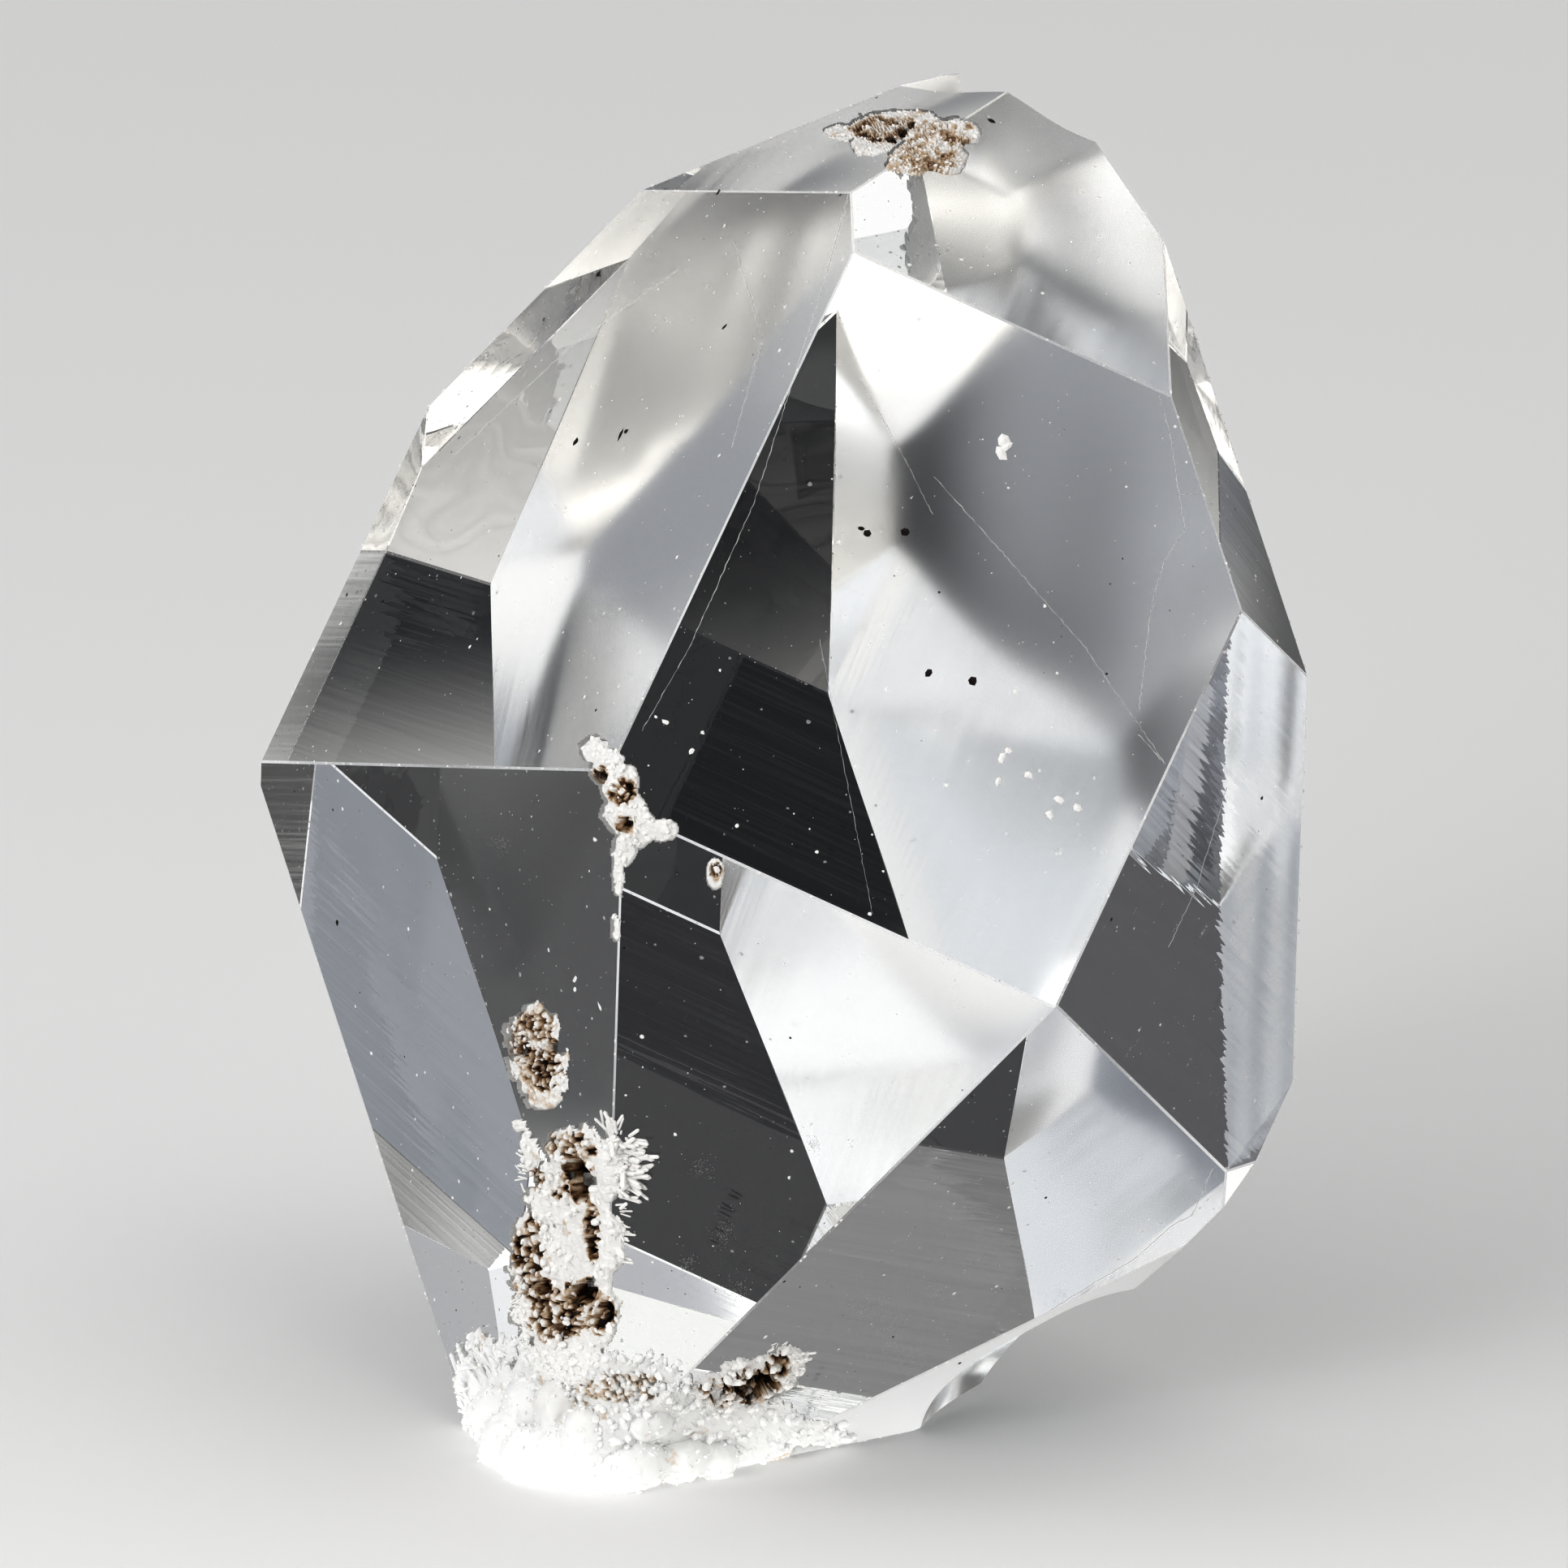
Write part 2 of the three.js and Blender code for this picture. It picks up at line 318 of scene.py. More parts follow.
def crystal_body():
    """The faceted body with worn edges, before the breaks, in millimetres about the heart."""
    shape = bmesh.new()
    for name in FACES:
        polygon = face_polygon(name)
        if polygon:
            made = shape.faces.new([shape.verts.new(p) for p in polygon])
            made.material_index = FACE_MATERIALS.get(name, CLEAR)
    bmesh.ops.remove_doubles(shape, verts=shape.verts, dist=0.004)
    bmesh.ops.recalc_face_normals(shape, faces=shape.faces)
    bmesh.ops.bevel(
        shape, geom=list(shape.edges), offset=EDGE_WIDTH, offset_type="OFFSET", segments=1,
        profile=0.5, affect="EDGES", material=WORN, clamp_overlap=True,
    )
    for f in shape.faces:
        spot = f.calc_center_median()
        frosty = all(abs(FACES[name][0].dot(spot) - FACES[name][1]) < 0.1 for name in FROSTY_EDGE)
        small_behind = f.normal.y > 0.1 and f.calc_area() < SMALL_EDGE
        if f.material_index == WORN and small_behind and not frosty:
            f.material_index = CLEAR
    return as_mesh("body", shape)


SLAB_TOP = 7.0


def slab(height_at, normal, reach, material, size=16.0, cells=90):
    """A thick slab over a face, for cutting: its underside is uneven and smooth shaded."""
    shape = bmesh.new()
    bmesh.ops.create_grid(shape, x_segments=cells, y_segments=cells, size=size / 2)
    for v in shape.verts:
        v.co.z = height_at(v.co.x, v.co.y)
    raised = bmesh.ops.extrude_face_region(shape, geom=list(shape.faces))["geom"]
    for v in raised:
        if isinstance(v, bmesh.types.BMVert):
            v.co.z = SLAB_TOP
    bmesh.ops.recalc_face_normals(shape, faces=shape.faces)
    turn = Vector((0, 0, 1)).rotation_difference(normal)
    shape.transform(Matrix.Translation(normal * reach) @ turn.to_matrix().to_4x4())
    for f in shape.faces:
        f.material_index = material
        f.smooth = True
    return shape


def wave_cutter():
    """What leaves the steep upper face gently wavy."""
    def height_at(x, y):
        wave = 0.012 * math.sin(1.1 * x + 0.8 * math.sin(0.5 * y))
        return wave + 0.009 * math.sin(0.8 * y - 0.7 * x + 1.0)

    normal, reach = FACES["up2"]
    shape = slab(height_at, normal, reach - EDGE_WIDTH, WAVY, size=24.0, cells=120)
    return as_mesh("wave_cutter", shape)


def tip_cutter():
    """What the rippled break takes from the upper point."""
    def height_at(x, y):
        wave = math.sin(2 * math.pi * (x + 0.4 * y) / 2.1) + 0.5 * math.sin(1.7 * y - 0.6 * x)
        return 0.05 * wave + 0.012 * (x * x + y * y)

    shape = slab(height_at, leaning(*TIP_BREAK[:2]), TIP_BREAK[2], SHELL)
    ledge = leaning(*TIP_LEDGE[:2])
    bmesh.ops.bisect_plane(
        shape, geom=list(shape.verts) + list(shape.edges) + list(shape.faces),
        plane_co=ledge * TIP_LEDGE[2], plane_no=ledge, clear_inner=True,
    )
    bmesh.ops.holes_fill(shape, edges=[e for e in shape.edges if e.is_boundary])
    bmesh.ops.recalc_face_normals(shape, faces=shape.faces)
    return as_mesh("tip_cutter", shape)


def chip_cutter():
    """The rippled ball that scoops out the corner chip."""
    shape = bmesh.new()
    bmesh.ops.create_uvsphere(shape, u_segments=120, v_segments=100, radius=1.0)
    for v in shape.verts:
        ring = math.sin(9 * math.acos(max(-1.0, min(1.0, v.co.z))))
        v.co = v.co.normalized() * (CHIP_RADIUS + 0.04 * ring) + CHIP_CENTRE
    for f in shape.faces:
        f.material_index = SHELL
        f.smooth = True
    return as_mesh("chip_cutter", shape)


SHARP_ANGLE = math.radians(25)


def crystal_mesh(materials, pits):
    """The whole crystal: the body less its broken tip, its chip and its crusted pits."""
    mesh = crystal_body()
    for cutter_mesh in (wave_cutter(), tip_cutter(), chip_cutter(), *pits):
        body = mesh_object("body", mesh, materials)
        cutter = mesh_object("cutter", cutter_mesh, materials)
        cut = body.modifiers.new("cut", "BOOLEAN")
        cut.operation = "DIFFERENCE"
        cut.solver = "EXACT"
        cut.material_mode = "INDEX"
        cut.object = cutter
        mesh = evaluated(body)
        bpy.data.objects.remove(cutter)
    shape = bmesh.new()
    shape.from_mesh(mesh)
    for e in shape.edges:
        e.smooth = len(e.link_faces) == 2 and e.calc_face_angle() < SHARP_ANGLE
    shape.to_mesh(mesh)
    shape.free()
    return mesh


# ---- Crusts, overgrowth and marks ---------------------------------------------------------------

# Places of the front view are pixels of the 1932 x 1932 frame, whose middle is the heart.
PIXEL, MIDDLE = FRAME_WIDTH / 1932, 966
TOWARD = Vector((0, -math.cos(LOOK_DOWN), math.sin(LOOK_DOWN)))
ASIDE = Vector((1, 0, 0))
UPWARD = TOWARD.cross(ASIDE)
EDGE_ON = 0.02
FRONT = [(normal, reach) for normal, reach in FACES.values() if normal.dot(TOWARD) > EDGE_ON]
BACK = [(normal, reach) for normal, reach in FACES.values() if normal.dot(TOWARD) <= EDGE_ON]


def front_spot(x, y):
    """The spot of the crystal's faces, and its face's normal, at a place of the front view."""
    start = ASIDE * ((x - MIDDLE) * PIXEL) + UPWARD * ((MIDDLE - y) * PIXEL)
    along, _, normal = min(
        ((reach - normal.dot(start)) / normal.dot(TOWARD), index, normal)
        for index, (normal, reach) in enumerate(FRONT)
    )
    return start + TOWARD * along, normal


def rounded_spot(x, y, reach=4):
    """As front_spot, with the normal softened near edges."""
    place, normal = front_spot(x, y)
    total = normal.copy()
    for dx, dy in ((reach, 0), (-reach, 0), (0, reach), (0, -reach)):
        total += front_spot(x + dx, y + dy)[1]
    return place, total.normalized()


def on_crystal(place, slack=0.0):
    """Whether a spot of the front faces is within the back faces too."""
    return all(normal.dot(place) <= reach + slack for normal, reach in BACK)


def facets(place, size, seed):
    """Height of a bed of small tilted facets, from 0 to about 1, and a tone for each facet."""
    spot = place / size + Vector((0, 0, 7.3 * seed))
    near = noise.voronoi(spot)[1][0]
    lean = noise.noise_vector(near * 3.1)
    return 0.5 + lean.z * 0.6 + (spot - near).dot(lean) * 0.9, noise.noise(near * 5.7)


def nearness(x, y, spots):
    """The least distance to a set of ellipses, 1 at their rims, and the ellipse it is for."""
    return min((math.hypot((x - s[0]) / s[2], (y - s[1]) / s[3]), s) for s in spots)


def smooth(value):
    """A value held between 0 and 1, with its ends eased."""
    value = max(0.0, min(1.0, value))
    return value * value * (3 - 2 * value)


def sound_cells(cells):
    """The cells of a grid, less those that touch another only at a corner."""
    cells = set(cells)
    while True:
        pinched = [
            (i, j) for i, j in sorted(cells)
            if any(
                (i + a, j + b) in cells and (i + a, j) not in cells and (i, j + b) not in cells
                for a in (-1, 1) for b in (-1, 1)
            )
        ]
        if not pinched:
            return sorted(cells)
        cells -= set(pinched)


def walled(tops, floors, stride=1):
    """Points and triangles of the solid between two sheets over the cells of one grid."""
    cells = sound_cells(
        (i // stride, j // stride) for i, j in tops
        if all(k in tops for k in ((i + stride, j), (i + stride, j + stride), (i, j + stride)))
    )
    corners, faces, walls = {}, [], {}

    def corner(i, j):
        return corners.setdefault((i * stride, j * stride), len(corners))

    for i, j in cells:
        ring = [corner(i, j), corner(i, j + 1), corner(i + 1, j + 1), corner(i + 1, j)]
        faces += [(ring[0], ring[1], ring[2]), (ring[0], ring[2], ring[3])]
        for a, b in zip(ring, ring[1:] + ring[:1]):
            if walls.pop((b, a), None) is None:
                walls[a, b] = True
    count = len(corners)
    under = [(a + count, c + count, b + count) for a, b, c in faces]
    sides = [f for a, b in walls for f in ((b, a, a + count), (b, a + count, b + count))]
    points = [tops[k] for k in corners] + [floors[k] for k in corners]
    return list(corners), points, faces + under + sides


# A spot's field is 1 on a crust's outline. The crust slopes down from INNER to RIM, and its pit
# goes as far as PIT_RIM.
INNER, RIM, PIT_RIM = 0.88, 1.08, 0.9
# How far below the lowest relief a crust and its pit reach, and the pit's coarser grid.
CRUST_DEPTH, PIT_DEPTH, PIT_STRIDE = 0.13, 0.06, 3
UNDERSIDE_GRIME = 0.15
# How far towards the viewer a pit's cutter reaches, clear of the crystal.
LID_REACH = 12


def random_vector(rng):
    """Three random numbers about 0."""
    return Vector((rng.gauss(0, 1), rng.gauss(0, 1), rng.gauss(0, 1)))


def crust(
    name, blobs, holes=(), cells=(), spikes=(), seed=1, rise=0.05, step=2.0, ragged=0.3,
    streak=0.0, grain=0.13, tint=0.0, stain=0.25, grains=60, grain_size=(0.05, 0.13), pitted=True,
):
    """A crust that wraps the faces: a bed of tiny facets with holes and brown-edged cells.

    Blobs (its outline), holes (with depth and darkness), cells (with size and darkness) and
    spikes (with aim across and up, count and length) are ellipses of the front view: x, y,
    half width, half height. Gives its mesh and, if it lies in a pit, the pit's cutter.
    """
    x0, x1 = min(b[0] - b[2] * 1.5 for b in blobs), max(b[0] + b[2] * 1.5 for b in blobs)
    y0, y1 = min(b[1] - b[3] * 1.5 for b in blobs), max(b[1] + b[3] * 1.5 for b in blobs)
    columns, rows = int((x1 - x0) / step) + 1, int((y1 - y0) / step) + 1
    rng = random.Random(seed)

    def relief(x, y, place):
        """How far out, how high and how dark a spot is."""
        field, _ = nearness(x, y, blobs)
        field += ragged * (noise.noise(place * 2.6) + 0.6 * noise.noise(place * 7.0))
        field += streak * noise.noise(Vector(((x + 0.5 * y) / 7, (y - 0.5 * x) / 46, seed)))
        level, tone = facets(place, grain, seed)
        height = rise * (0.3 + 0.9 * level)
        stained = max(0.0, noise.noise(place * 2.1 + Vector((9, 0, 0))) + 0.1)
        darkening = tint + 0.2 * max(0.0, tone) + stain * stained
        if cells:
            inside, cell = nearness(x, y, cells)
            inside += 0.35 * noise.noise(place * 4.3)
            share = smooth((1.2 - inside) * 3)
            if share > 0:
                wall = noise.voronoi(place / cell[4] + Vector((seed, 0, 0)))[0]
                crack = 1 - smooth((wall[1] - wall[0]) / 0.34)
                patchy = 0.5 + noise.noise(place * 5.0 + Vector((0, 0, seed)))
                height += share * cell[4] * (0.25 - 0.8 * crack)
                edges = cell[5] * crack * (0.55 + 0.6 * patchy)
                darkening = max(darkening, share * (0.05 + 0.3 * patchy + edges))
        # Each hole is sunk, and made darker inside and about its rim, down to black in the deepest
        # holes.
        if holes:
            away, hole = nearness(x, y, holes)
            away += 0.35 * noise.noise(place * 5.1 + Vector((0, 4, 0)))
            inside = smooth((1.25 - away) / 0.5)
            height -= hole[4] * inside
            rim = max(0.0, 1 - abs(away - 1.25) / 0.45)
            darkening = max(darkening, hole[5] * inside, hole[5] * rim * (0.6 + tone))
        return field, height, darkening

    spots = {}
    for j in range(rows + 1):
        for i in range(columns + 1):
            x, y = x0 + i * step, y0 + j * step
            place, normal = rounded_spot(x, y)
            if on_crystal(place, 0.02):
                field, height, darkening = relief(x, y, place)
                if field < RIM:
                    if field >= INNER:
                        height = height * (RIM - field) / (RIM - INNER) - 0.01
                    spots[i, j] = (place, normal, field, height, darkening)

    def deep(key, under):
        """A spot's place below the lowest relief about it, measured away from the viewer."""
        i, j = key
        steps = (-PIT_STRIDE, 0, PIT_STRIDE)
        near = ((i + a, j + b) for a in steps for b in steps)
        lowest = min(min(spots[k][3] for k in near if k in spots), 0) - under
        place, normal = spots[key][:2]
        return place + TOWARD * lowest / max(normal.dot(TOWARD), 0.35)

    tops = {k: place + normal * height for k, (place, normal, _, height, _) in spots.items()}
    grid, points, faces = walled(tops, {k: deep(k, CRUST_DEPTH) for k in spots})
    shape = bmesh.new()
    layer = shape.verts.layers.float.new("darkening")
    vertices = [shape.verts.new(p) for p in points]
    for index, vertex in enumerate(vertices):
        vertex[layer] = spots[grid[index]][4] if index < len(grid) else UNDERSIDE_GRIME
    for face in faces:
        shape.faces.new([vertices[k] for k in face])
    inner = [entry for entry in spots.values() if entry[2] < 1.0]
    for _ in range(grains):
        place, normal, _, height, darkening = rng.choice(inner)
        size = rng.uniform(*grain_size)
        tilt = random_vector(rng).normalized()
        spot = place + normal * (height + size * 0.1)
        add_grain(shape, layer, spot, tilt, size, darkening * rng.uniform(0.1, 0.8), rng)
    for recipe in spikes:
        add_spikes(shape, layer, rng, *recipe)
    bmesh.ops.recalc_face_normals(shape, faces=shape.faces)
    mesh = as_mesh(name, shape)
    if not pitted:
        return mesh, None
    floors = {
        k: deep(k, PIT_DEPTH) for k, (_, _, field, _, _) in spots.items()
        if field < PIT_RIM and not (k[0] % PIT_STRIDE or k[1] % PIT_STRIDE)
    }
    lids = {k: p + TOWARD * (LID_REACH - p.dot(TOWARD)) for k, p in floors.items()}
    _, points, faces = walled(lids, floors, PIT_STRIDE)
    cutter = bpy.data.meshes.new(name + "_cutter")
    cutter.from_pydata(points, [], faces)
    for face in cutter.polygons:
        face.material_index = SHELL
    return mesh, cutter


def add_spikes(shape, layer, rng, x, y, half_width, half_height, across, up, count, length):
    """A tuft of thin splinters that lean one way out of a crust."""
    for _ in range(count):
        place, normal = rounded_spot(
            x + rng.gauss(0, 0.5) * half_width, y + rng.gauss(0, 0.5) * half_height,
        )
        aim = ASIDE * (across + rng.gauss(0, 0.4)) + UPWARD * (up + rng.gauss(0, 0.4))
        aim = (aim - normal * normal.dot(aim) * 0.9 + normal * rng.uniform(0.1, 0.5)).normalized()
        reach = length * PIXEL * rng.uniform(0.4, 1.1)
        if on_crystal(place, 0.02):
            add_grain(
                shape, layer, place + aim * reach * 0.4, aim, reach * 0.22,
                rng.uniform(0, 0.16), rng, long=6.5,
            )


def add_grain(shape, layer, place, tilt, size, darkening, rng, long=1.0):
    """A tiny six-sided crystal with pointed ends."""
    turn = Vector((0, 0, 1)).rotation_difference(tilt)
    waist, length = size * rng.uniform(0.35, 0.5), size * rng.uniform(0.1, 0.45) * long
    rings = []
    for z in (-length, length):
        ring = []
        for k in range(6):
            angle = math.radians(60 * k)
            corner = Vector((waist * math.cos(angle), waist * math.sin(angle), z))
            ring.append(shape.verts.new(place + turn @ corner))
        rings.append(ring)
    point = length + waist * 1.1
    tips = [shape.verts.new(place + turn @ Vector((0, 0, z))) for z in (-point, point)]
    for vertex in rings[0] + rings[1] + tips:
        vertex[layer] = darkening
    for k in range(6):
        n = (k + 1) % 6
        shape.faces.new((rings[0][k], rings[0][n], rings[1][n], rings[1][k]))
        shape.faces.new((rings[0][n], rings[0][k], tips[0]))
        shape.faces.new((rings[1][k], rings[1][n], tips[1]))


TAN, BROWN, BLACK = (0.68, 0.55, 0.41), (0.24, 0.135, 0.065), (0.012, 0.006, 0.004)


def crusted(name, white, through_share):
    """A mineral crust, coloured by how dark each spot is, with fine speckle."""
    material, tree, out = new_material(name)
    coords = node(tree, "ShaderNodeTexCoord").outputs["Object"]
    darkening = node(tree, "ShaderNodeAttribute", attribute_name="darkening").outputs["Fac"]
    speckle = node(tree, "ShaderNodeTexNoise", Vector=coords, Scale=9000.0, Detail=3.0)
    speckle = speckle.outputs["Fac"]
    spread = reckon(tree, "MULTIPLY_ADD", speckle, 0.5, -0.25)
    total = reckon(tree, "ADD", spread, darkening, use_clamp=True)
    stops = ((0.0, white), (0.2, white), (0.36, TAN), (0.58, BROWN), (0.78, BLACK))
    colour = ramp(tree, total, stops)
    bumped = node(tree, "ShaderNodeBump", Height=speckle, Strength=0.6, Distance=0.00002)
    body = node(
        tree, "ShaderNodeBsdfPrincipled", Base_Color=colour, IOR=1.5, Roughness=0.5,
        Normal=bumped.outputs["Normal"],
    )
    part_translucent(tree, out, body, colour, through_share)
    return material


# Every crust, by places of the front view.
CRUSTS = {
    "edge_crust": dict(
        seed=3, rise=0.06, step=1.6, ragged=0.3, grain=0.1, grains=70, grain_size=(0.04, 0.1),
        blobs=(
            (738, 925, 17, 16), (752, 942, 20, 20), (768, 965, 22, 24), (775, 1000, 24, 26),
            (790, 1020, 22, 20), (818, 1023, 18, 14), (772, 1045, 12, 18), (765, 1080, 6, 26),
            (763, 1140, 5, 16),
        ),
        holes=(
            (745, 955, 6, 7, 0.12, 0.8), (773, 1013, 8, 8, 0.16, 0.85),
            (777, 968, 5, 5, 0.08, 0.75),
        ),
        cells=((770, 975, 16, 18, 0.13, 0.45),),
    ),
    "round_chip": dict(
        seed=4, rise=0.04, step=1.5, ragged=0.12, grain=0.07, grains=12, grain_size=(0.03, 0.05),
        blobs=((882, 1075, 11, 18),), holes=((883, 1072, 6, 9, 0.08, 0.6),),
    ),
    "oval_crust": dict(
        seed=5, rise=0.05, step=1.5, ragged=0.34, grain=0.1, grains=90, grain_size=(0.03, 0.09),
        blobs=((660, 1275, 30, 38), (668, 1320, 32, 38), (672, 1352, 22, 14)),
        cells=((658, 1280, 30, 40, 0.13, 0.5), (672, 1318, 24, 22, 0.14, 0.75)), tint=0.08,
        holes=(
            (650, 1290, 6, 8, 0.12, 0.8), (672, 1312, 6, 8, 0.14, 0.85),
            (685, 1290, 4, 7, 0.1, 0.8),
        ),
    ),
    "long_crust": dict(
        seed=8, rise=0.08, step=1.8, ragged=0.3, grain=0.13, grains=260, grain_size=(0.05, 0.16),
        blobs=(
            (643, 1385, 7, 8), (652, 1405, 6, 16), (658, 1425, 10, 22), (676, 1448, 13, 20),
            (715, 1420, 38, 32), (755, 1440, 18, 38), (700, 1480, 46, 36), (745, 1530, 22, 50),
            (700, 1545, 40, 50), (657, 1550, 26, 56), (690, 1610, 52, 44), (735, 1620, 28, 44),
            (700, 1665, 44, 40),
        ),
        cells=(
            (706, 1410, 30, 20, 0.15, 0.6), (657, 1548, 20, 50, 0.17, 0.72),
            (690, 1618, 34, 32, 0.16, 0.74), (734, 1512, 9, 36, 0.14, 0.8),
            (742, 1622, 17, 20, 0.15, 0.75), (664, 1452, 10, 14, 0.12, 0.7),
            (696, 1465, 10, 9, 0.12, 0.8),
        ),
        spikes=(
            (768, 1436, 16, 34, 1.0, 0.1, 110, 30), (757, 1392, 12, 8, 0.1, 1.0, 20, 26),
            (650, 1440, 6, 26, -1.0, 0.2, 20, 14), (765, 1515, 8, 36, 1.0, -0.1, 36, 15),
            (642, 1600, 8, 40, -1.0, -0.1, 26, 14),
        ),
        holes=(
            (716, 1440, 13, 14, 0.42, 1.15), (721, 1462, 10, 12, 0.42, 1.1),
            (734, 1520, 5, 22, 0.2, 0.95), (722, 1590, 16, 12, 0.34, 1.15),
            (676, 1582, 9, 7, 0.2, 0.95), (697, 1635, 10, 9, 0.22, 0.9),
            (664, 1557, 6, 8, 0.16, 0.9), (750, 1615, 8, 14, 0.18, 0.9),
        ),
    ),
    "low_crust": dict(
        seed=13, rise=0.07, step=1.6, ragged=0.26, grain=0.12, grains=110, grain_size=(0.05, 0.15),
        blobs=((880, 1712, 28, 24), (915, 1702, 32, 28), (950, 1690, 28, 26), (972, 1672, 18, 18)),
        cells=(
            (885, 1710, 24, 18, 0.19, 0.85), (925, 1705, 32, 24, 0.22, 0.85),
            (958, 1676, 15, 15, 0.18, 0.7),
        ),
        holes=(
            (918, 1712, 14, 8, 0.3, 1.15), (940, 1697, 11, 10, 0.3, 1.15),
            (885, 1710, 8, 9, 0.18, 0.95),
        ),
        spikes=((978, 1672, 8, 12, 0.8, 0.5, 30, 20), (960, 1660, 16, 6, 0.2, 1.0, 16, 12)),
    ),
    "tip_crust": dict(
        seed=21, rise=0.06, step=1.3, ragged=0.3, grain=0.07, tint=0.13, stain=0.2, grains=160,
        grain_size=(0.03, 0.06), pitted=False,
        blobs=(
            (1045, 163, 26, 8), (1080, 160, 34, 18), (1075, 180, 28, 12), (1125, 200, 30, 20),
            (1150, 180, 38, 24), (1165, 200, 30, 20), (1185, 165, 20, 16), (1120, 150, 40, 10),
        ),
        cells=(
            (1155, 188, 44, 32, 0.06, 0.2), (1120, 205, 30, 16, 0.06, 0.18),
            (1085, 160, 40, 14, 0.09, 0.26),
        ),
        holes=(
            (1058, 163, 5, 4, 0.03, 0.7), (1066, 170, 7, 4, 0.03, 0.75),
            (1080, 176, 8, 4, 0.03, 0.75), (1098, 175, 8, 4, 0.03, 0.75),
            (1112, 167, 6, 5, 0.03, 0.75), (1124, 157, 5, 5, 0.03, 0.7),
            (1090, 150, 6, 3, 0.02, 0.5), (1192, 160, 6, 4, 0.02, 0.45),
        ),
    ),
}

crust_material = crusted("mineral_crust", (0.95, 0.945, 0.935), through_share=0.35)
milky_crust = crusted("milky_crust", (0.95, 0.952, 0.95), through_share=0.42)
crust_meshes, crust_cutters = {}, []
for crust_name, recipe in CRUSTS.items():
    crust_meshes[crust_name], cutter = crust(crust_name, **recipe)
    if cutter:
        crust_cutters.append(cutter)

FOOT_LUMPS = (
    ("low5", (-4.5, -3.9, -9.2), 0.48), ("low5", (-4.32, -4.7, -9.45), 0.5),
    ("low5", (-3.94, -5.46, -9.5), 0.56), ("low5", (-3.52, -5.85, -9.36), 0.5),
    ("low5", (-3.98, -4.6, -8.8), 0.44), ("low5", (-3.48, -5.42, -8.6), 0.46),
    ("low0", (-3.05, -6.2, -8.75), 0.42), ("low0", (-2.95, -6.12, -9.35), 0.52),
    ("low1", (-2.35, -6.2, -9.3), 0.5), ("low1", (-2.1, -6.5, -8.5), 0.34),
    ("low1", (-1.62, -5.82, -9.3), 0.42), ("low1", (-1.05, -5.52, -9.4), 0.36),
)
LUMP_FLATNESS, FOOT_GRAINS = 0.8, 700


def cut_level(shape):
    """Cuts away what lies below the surface that the crystal rests on."""
    bmesh.ops.bisect_plane(
        shape, geom=[*shape.verts, *shape.edges, *shape.faces],
        plane_co=Vector((0, 0, -HEART.z)), plane_no=Vector((0, 0, -1)), clear_outer=True,
    )


def foot_mesh():
    """The milky overgrowth about the foot: lumps melted together and cut level."""
    shape = bmesh.new()
    for face, at, radius in FOOT_LUMPS:
        normal = FACES[face][0]
        turn = Vector((0, 0, 1)).rotation_difference(normal).to_matrix().to_4x4()
        size = Matrix.Diagonal((radius, radius, radius * LUMP_FLATNESS, 1))
        bmesh.ops.create_icosphere(
            shape, subdivisions=3, radius=1.0, matrix=Matrix.Translation(at) @ turn @ size,
        )
    piece = mesh_object("foot", as_mesh("foot", shape), [])
    melt = piece.modifiers.new("melt", "REMESH")
    melt.mode, melt.voxel_size, melt.use_smooth_shade = "VOXEL", 0.05, True
    soften = piece.modifiers.new("soften", "SMOOTH")
    soften.factor, soften.iterations = 0.5, 70
    mesh = evaluated(piece)
    shape = bmesh.new()
    shape.from_mesh(mesh)
    layer = shape.verts.layers.float.new("darkening")
    for v in shape.verts:
        level, _ = facets(v.co, 0.14, 4)
        v.co += v.normal * (0.06 + 0.05 * noise.noise(v.co * 4) + 0.045 * (level - 0.5))
        v[layer] = 0.3 * max(0, noise.noise(v.co * 1.9) - 0.1)
    rng = random.Random(41)
    for v in rng.sample(list(shape.verts), FOOT_GRAINS):
        tilt = (v.normal + random_vector(rng) * 0.6).normalized()
        size, darkening = rng.uniform(0.03, 0.075), rng.uniform(0, 0.15)
        add_grain(shape, layer, v.co, tilt, size, darkening, rng, long=1.6)
    cut_level(shape)
    bmesh.ops.holes_fill(shape, edges=[e for e in shape.edges if e.is_boundary])
    return as_mesh("foot", shape)


FROST_RECIPE = dict(
    seed=31, rise=0.05, step=2.6, ragged=0.2, streak=0.5, grain=0.16, stain=0.3, grains=420,
    grain_size=(0.06, 0.16),
    blobs=(
        (610, 1730, 62, 80), (650, 1780, 80, 60), (700, 1710, 80, 60), (780, 1720, 80, 50),
        (780, 1780, 110, 56), (860, 1760, 70, 44), (930, 1745, 60, 26), (900, 1790, 80, 30),
        (1000, 1765, 50, 16),
    ),
    cells=((762, 1706, 56, 18, 0.12, 0.19), (705, 1722, 30, 24, 0.12, 0.19)),
    spikes=(
        (594, 1690, 20, 20, -0.3, 1.0, 160, 27), (577, 1722, 8, 26, -0.7, 0.7, 70, 20),
        (650, 1672, 50, 14, 0.0, 1.0, 90, 18), (840, 1712, 50, 10, 0.1, 1.0, 50, 14),
        (700, 1770, 120, 50, 0.0, 0.6, 160, 14),
    ),
    holes=(
        (667, 1792, 6, 6, 0.05, 0.85), (866, 1795, 8, 4, 0.05, 0.8), (884, 1797, 5, 4, 0.04, 0.75),
    ),
    pitted=False,
)
crust_meshes["foot_frost"], _ = crust("foot_frost", **FROST_RECIPE)
crust_meshes["foot_overgrowth"] = foot_mesh()

# ---- Specks, scratches and chips ----------------------------------------------------------------


